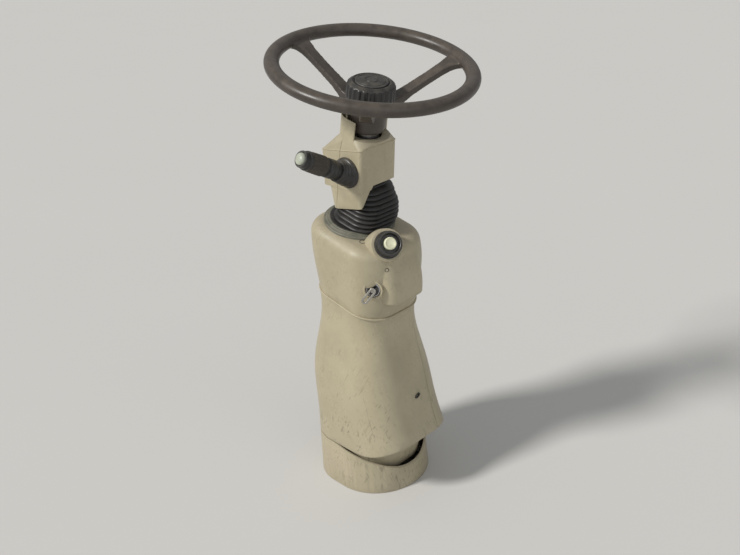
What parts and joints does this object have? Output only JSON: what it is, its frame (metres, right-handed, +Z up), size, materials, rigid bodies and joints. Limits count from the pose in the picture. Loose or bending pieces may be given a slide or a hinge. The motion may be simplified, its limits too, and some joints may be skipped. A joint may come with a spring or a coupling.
{
  "type": "combine harvester steering column",
  "caption": "Tilting steering column of a combine harvester cab, with covers, bellows, stalk switch, key switch, power socket and a steering wheel with a fluted lock knob.",
  "frame": {"origin": "on the cab floor, at the centre of the foot's four bolts, under the low tilt axis", "axes": "+X to the machine's front, +Y to its left, +Z up"},
  "size_m": [0.3817, 0.38, 0.9301],
  "materials": {
    "cover": "matte, scuffed",
    "black_rubber": "matte",
    "wheel_grip": "satin, worn",
    "black_plastic": "satin",
    "grey_plastic": "matte, dusty",
    "light_plastic": "satin",
    "steel": "satin black",
    "bare_steel": "brushed",
    "unit": "cast"
  },
  "bodies": {
    "foot": {"mount_plate": "steel", "tilt_pins": "bare_steel", "foot_collar": "cover"},
    "pedestal": {"support_post": "steel", "steering_unit": "unit", "pedestal_left_cover": "cover", "pedestal_right_cover": "cover", "cowl": "cover", "power_socket": "black_plastic", "lighter": "light_plastic", "key_switch": "black_plastic", "key": "bare_steel", "clamp_ring": "grey_plastic", "bellows": "black_rubber", "head_pin": "bare_steel"},
    "head": {"jacket_tube": "steel", "head_front_shell": "cover", "head_rear_shell": "cover", "stalk_boss": "black_plastic", "stalk_lever": "black_plastic", "stalk_cap": "light_plastic"},
    "slider": {"telescope_sleeve": "bare_steel"},
    "wheel": {"wheel_hub": "wheel_grip", "wheel_rim": "wheel_grip", "lock_knob": "black_plastic", "knob_cap": "black_plastic"}
  },
  "joints": [
    {"name": "column_tilt", "type": "hinge", "parent": "foot", "child": "pedestal", "pos_m": [0, 0, 0.082], "axis": [0, 1, 0], "range_deg": [-12, 0]},
    {"name": "head_tilt", "type": "hinge", "parent": "pedestal", "child": "head", "pos_m": [-0.02205, 0, 0.58702], "axis": [0, 1, 0], "range_deg": [-24, 0], "deforming": ["bellows"]},
    {"name": "telescope", "type": "slide", "parent": "head", "child": "slider", "axis": [-0.225, 0, 0.9744], "range_m": [0, 0.06]},
    {"name": "wheel_spin", "type": "hinge", "parent": "slider", "child": "wheel", "pos_m": [-0.08931, 0, 0.87836], "axis": [-0.225, 0, 0.9744], "continuous": true}
  ]
}
